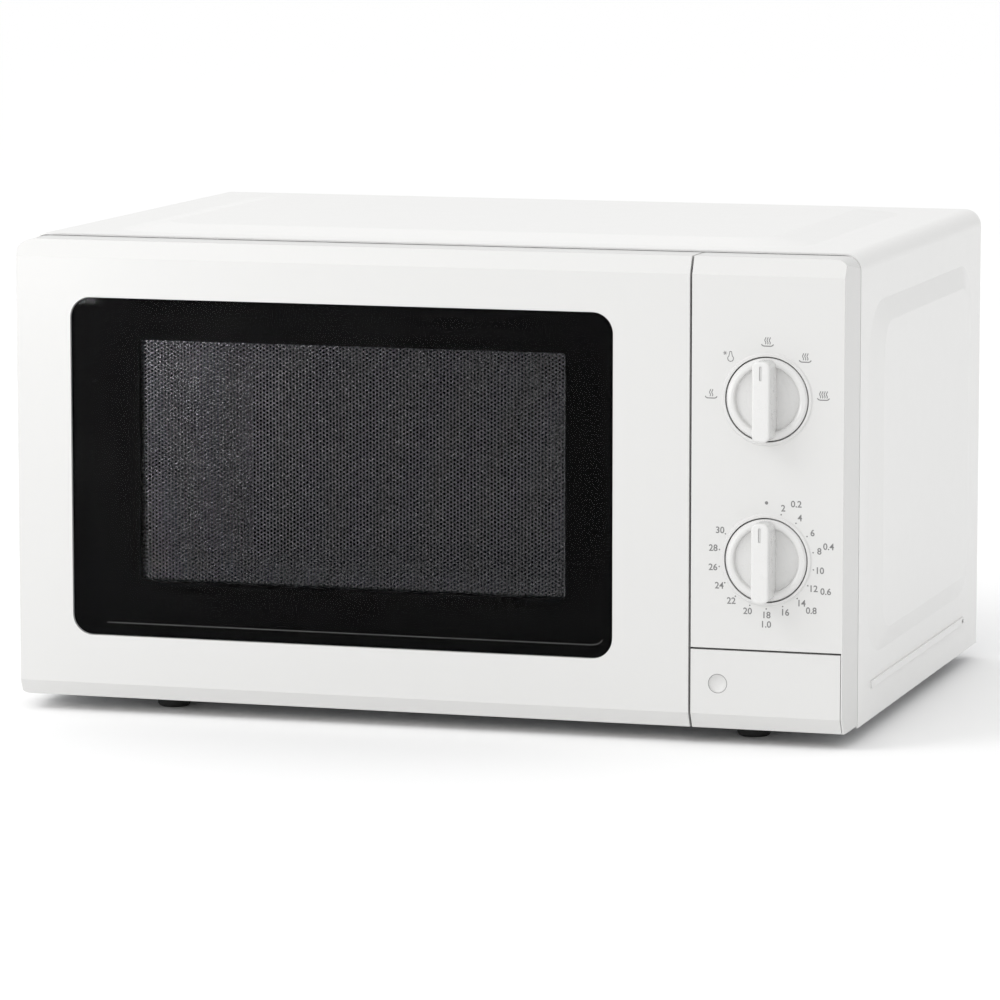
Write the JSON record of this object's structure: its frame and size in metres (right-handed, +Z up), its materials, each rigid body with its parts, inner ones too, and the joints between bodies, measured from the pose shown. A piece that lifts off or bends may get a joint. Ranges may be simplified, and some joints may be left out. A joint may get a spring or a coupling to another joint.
{
  "type": "microwave oven",
  "caption": "Counter-top microwave oven with a side-hinged windowed door, a turntable, two dials and a push plate that releases the door.",
  "frame": {"origin": "middle of the oven's bounding box on the surface that its feet stand on", "axes": "+Z up, +Y from the door to the back, +X to the right of a person facing the door"},
  "size_m": [0.4564, 0.3374, 0.2545],
  "materials": {
    "cover_paint": "fine-grained white powder paint",
    "chassis_steel": "galvanised sheet",
    "rear_paint": "white powder paint",
    "front_paint": "pale grey enamel",
    "cavity_paint": "light grey enamel",
    "front_plastic": "white moulded plastic, satin",
    "dial_plastic": "white moulded plastic, satin",
    "foot_rubber": "black rubber",
    "screw_steel": "zinc plated",
    "clear_glass": "clear toughened pane",
    "tray_glass": "clear pressed glass",
    "mask_black": "glossy black",
    "retainer_plastic": "black",
    "screen_steel": "dark coated perforated steel",
    "choke_plastic": "grey moulded plastic",
    "hook_plastic": "natural acetal",
    "spring_steel": "spring wire",
    "shaft_plastic": "natural acetal",
    "mica": "mica sheet",
    "motor_case": "plated steel can",
    "coupler_plastic": "heat-proof plastic",
    "hinge_steel": "plated steel",
    "latch_plastic": "moulded plastic",
    "switch_plastic": "black switch case",
    "unit_case": "pressed steel case",
    "bell_brass": "bright",
    "guide_steel": "galvanised sheet",
    "magnetron_steel": "plated yoke",
    "fin_aluminium": "thin fins",
    "core_steel": "varnished laminations",
    "copper_enamel": "enamelled copper",
    "can_aluminium": "capacitor can",
    "diode_epoxy": "epoxy",
    "board_laminate": "phenolic board",
    "fan_plastic": "moulded plastic",
    "lamp_glass": "clear bulb",
    "gland_plastic": "black nylon"
  },
  "bodies": {
    "cabinet": {"outer_cover": "cover_paint", "base_plate": "chassis_steel", "motor_hatch": "chassis_steel", "rear_panel": "rear_paint", "foot_front_left": "foot_rubber", "foot_front_right": "foot_rubber", "foot_rear_left": "foot_rubber", "foot_rear_right": "foot_rubber", "case_screws": "screw_steel", "control_panel": "front_plastic", "plate_spring": "spring_steel", "front_frame": "front_paint", "cavity_shell": "cavity_paint", "cavity_back": "cavity_paint", "waveguide_cover": "mica", "turntable_motor": "motor_case", "hinge_lower": "hinge_steel", "hinge_upper": "hinge_steel", "latch_board": "latch_plastic", "door_switches": "switch_plastic", "timer_unit": "unit_case", "power_selector": "unit_case", "timer_bell": "bell_brass", "waveguide": "guide_steel", "magnetron_body": "magnetron_steel", "magnetron_fins": "fin_aluminium", "magnetron_filter_box": "magnetron_steel", "transformer_core": "core_steel", "transformer_windings": "copper_enamel", "capacitor": "can_aluminium", "capacitor_strap": "chassis_steel", "high_voltage_diode": "diode_epoxy", "filter_board": "board_laminate", "fan_shroud": "fan_plastic", "fan_motor": "core_steel", "lamp_socket": "guide_steel", "lamp_bulb": "lamp_glass", "thermal_cutouts": "switch_plastic", "cord_gland": "gland_plastic"},
    "door": {"door_frame": "front_plastic", "door_glass": "clear_glass", "window_mask": "mask_black", "window_retainer": "retainer_plastic", "door_screen": "screen_steel", "choke_cover": "choke_plastic", "hook_spring": "spring_steel"},
    "door_hooks": {"door_hooks": "hook_plastic"},
    "release_plate": {"release_plate": "front_plastic"},
    "release_lever": {"release_lever": "latch_plastic"},
    "power_dial": {"power_knob": "dial_plastic", "power_shaft": "shaft_plastic"},
    "timer_dial": {"timer_knob": "dial_plastic", "timer_shaft": "shaft_plastic"},
    "coupler": {"turntable_coupler": "coupler_plastic"},
    "tray": {"glass_tray": "tray_glass"},
    "roller_ring": {"roller_ring": "coupler_plastic"},
    "roller_1": {"roller_1": "coupler_plastic"},
    "roller_2": {"roller_2": "coupler_plastic"},
    "roller_3": {"roller_3": "coupler_plastic"},
    "fan": {"fan_blades": "fan_plastic"}
  },
  "joints": [
    {"name": "door_hinge", "type": "hinge", "parent": "cabinet", "child": "door", "pos_m": [-0.2195, -0.1464, 0.1285], "axis": [0, 0, -1], "range_deg": [0, 105]},
    {"name": "hook_lift", "type": "slide", "parent": "door", "child": "door_hooks", "axis": [0, 0, 1], "range_m": [0, 0.0045], "stiffness_N_per_m": 200, "springref_m": -0.004, "deforming": ["hook_spring"]},
    {"name": "release_plate_press", "type": "slide", "parent": "cabinet", "child": "release_plate", "axis": [0, 1, 0], "range_m": [0, 0.004], "stiffness_N_per_m": 600, "springref_m": -0.002, "deforming": ["plate_spring"]},
    {"name": "release_lever_turn", "type": "hinge", "parent": "cabinet", "child": "release_lever", "pos_m": [0.1435, -0.1044, 0.0745], "axis": [1, 0, 0], "range_deg": [0, 7.2]},
    {"name": "power_dial_turn", "type": "hinge", "parent": "cabinet", "child": "power_dial", "pos_m": [0.1829, -0.1544, 0.1788], "axis": [0, 1, 0], "range_deg": [-86, 86]},
    {"name": "timer_dial_turn", "type": "hinge", "parent": "cabinet", "child": "timer_dial", "pos_m": [0.1829, -0.1544, 0.0967], "axis": [0, 1, 0], "range_deg": [0, 300]},
    {"name": "turntable_spin", "type": "hinge", "parent": "cabinet", "child": "coupler", "pos_m": [-0.0395, 0.0086, 0.0335], "axis": [0, 0, 1], "continuous": true},
    {"name": "tray_lift", "type": "slide", "parent": "coupler", "child": "tray", "axis": [0, 0, 1], "range_m": [0, 0.02]},
    {"name": "roller_ring_spin", "type": "hinge", "parent": "cabinet", "child": "roller_ring", "pos_m": [-0.0395, 0.0086, 0.0358], "axis": [0, 0, 1], "continuous": true},
    {"name": "fan_spin", "type": "hinge", "parent": "cabinet", "child": "fan", "pos_m": [0.164, 0.1216, 0.1545], "axis": [0, 1, 0], "continuous": true},
    {"name": "roller_1_spin", "type": "hinge", "parent": "roller_ring", "child": "roller_1", "pos_m": [-0.0395, -0.0844, 0.0358], "axis": [0, -1, 0], "continuous": true},
    {"name": "roller_2_spin", "type": "hinge", "parent": "roller_ring", "child": "roller_2", "pos_m": [0.04104, 0.0551, 0.0358], "axis": [0.866, 0.5, 0], "continuous": true},
    {"name": "roller_3_spin", "type": "hinge", "parent": "roller_ring", "child": "roller_3", "pos_m": [-0.12004, 0.0551, 0.0358], "axis": [-0.866, 0.5, 0], "continuous": true}
  ],
  "couplings": [
    {"joint": "release_lever_turn", "follows": "release_plate_press", "rad_per_m": 31},
    {"joint": "roller_ring_spin", "follows": "turntable_spin", "ratio": 0.5},
    {"joint": "roller_1_spin", "follows": "turntable_spin", "ratio": -6.6429},
    {"joint": "roller_2_spin", "follows": "turntable_spin", "ratio": -6.6429},
    {"joint": "roller_3_spin", "follows": "turntable_spin", "ratio": -6.6429}
  ]
}
